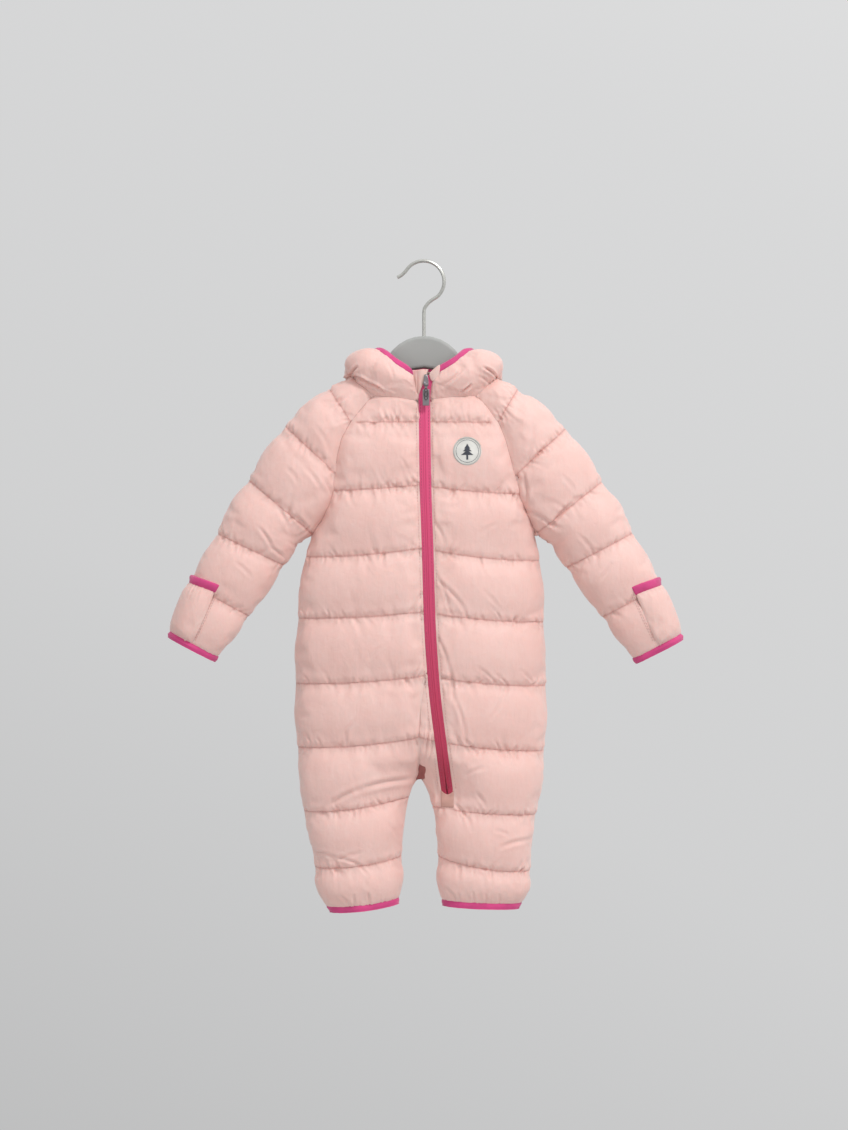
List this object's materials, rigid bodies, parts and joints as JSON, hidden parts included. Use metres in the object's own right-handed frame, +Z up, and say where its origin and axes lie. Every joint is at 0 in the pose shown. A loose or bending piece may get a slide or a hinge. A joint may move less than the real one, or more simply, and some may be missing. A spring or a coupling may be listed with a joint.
{
  "type": "baby snowsuit on a clothes hanger",
  "caption": "Padded, horizontally quilted hooded baby snowsuit with raglan sleeves, a long front zip, fold-over mitts and elastic bindings, hanging from a flat plate hanger with a wire hook.",
  "frame": {"origin": "under the crown of the hanger's hook, where the hook bears on a rail or hook", "axes": "+X to the wearer's left, +Y to the wearer's back, +Z up"},
  "size_m": [0.5699, 0.1484, 0.7182],
  "materials": {
    "shell_fabric": "pale pink plain-woven shell with a soft sheen",
    "trim_fabric": "magenta elastic binding",
    "zip_tape": "magenta woven zip tape",
    "badge_fabric": "off-white patch",
    "zip_metal": "worn grey metal",
    "hanger_paint": "matt grey",
    "hook_metal": "satin"
  },
  "bodies": {
    "snowsuit": {"front_right": "shell_fabric", "front_left": "shell_fabric", "back": "shell_fabric", "sleeve_right": "shell_fabric", "sleeve_left": "shell_fabric", "hood_right": "shell_fabric", "hood_left": "shell_fabric", "mitt_right": "shell_fabric", "mitt_left": "shell_fabric", "zip_guard": "shell_fabric", "hood_binding": "trim_fabric", "mitt_trim_right": "trim_fabric", "mitt_trim_left": "trim_fabric", "cuff_binding_right": "trim_fabric", "cuff_binding_left": "trim_fabric", "hem_binding_right": "trim_fabric", "hem_binding_left": "trim_fabric", "zip_tape_right": "zip_tape", "zip_tape_left": "zip_tape", "chest_badge": "badge_fabric", "zip_slider": "zip_metal", "hanger_body": "hanger_paint", "hanger_hook": "hook_metal"},
    "zip_pull": {"zip_pull_tab": "zip_metal"}
  },
  "joints": [
    {"name": "pull_tab_hinge", "type": "hinge", "parent": "snowsuit", "child": "zip_pull", "pos_m": [0.0022, -0.0397, -0.1367], "axis": [-1, 0, 0], "range_deg": [0, 150]}
  ]
}
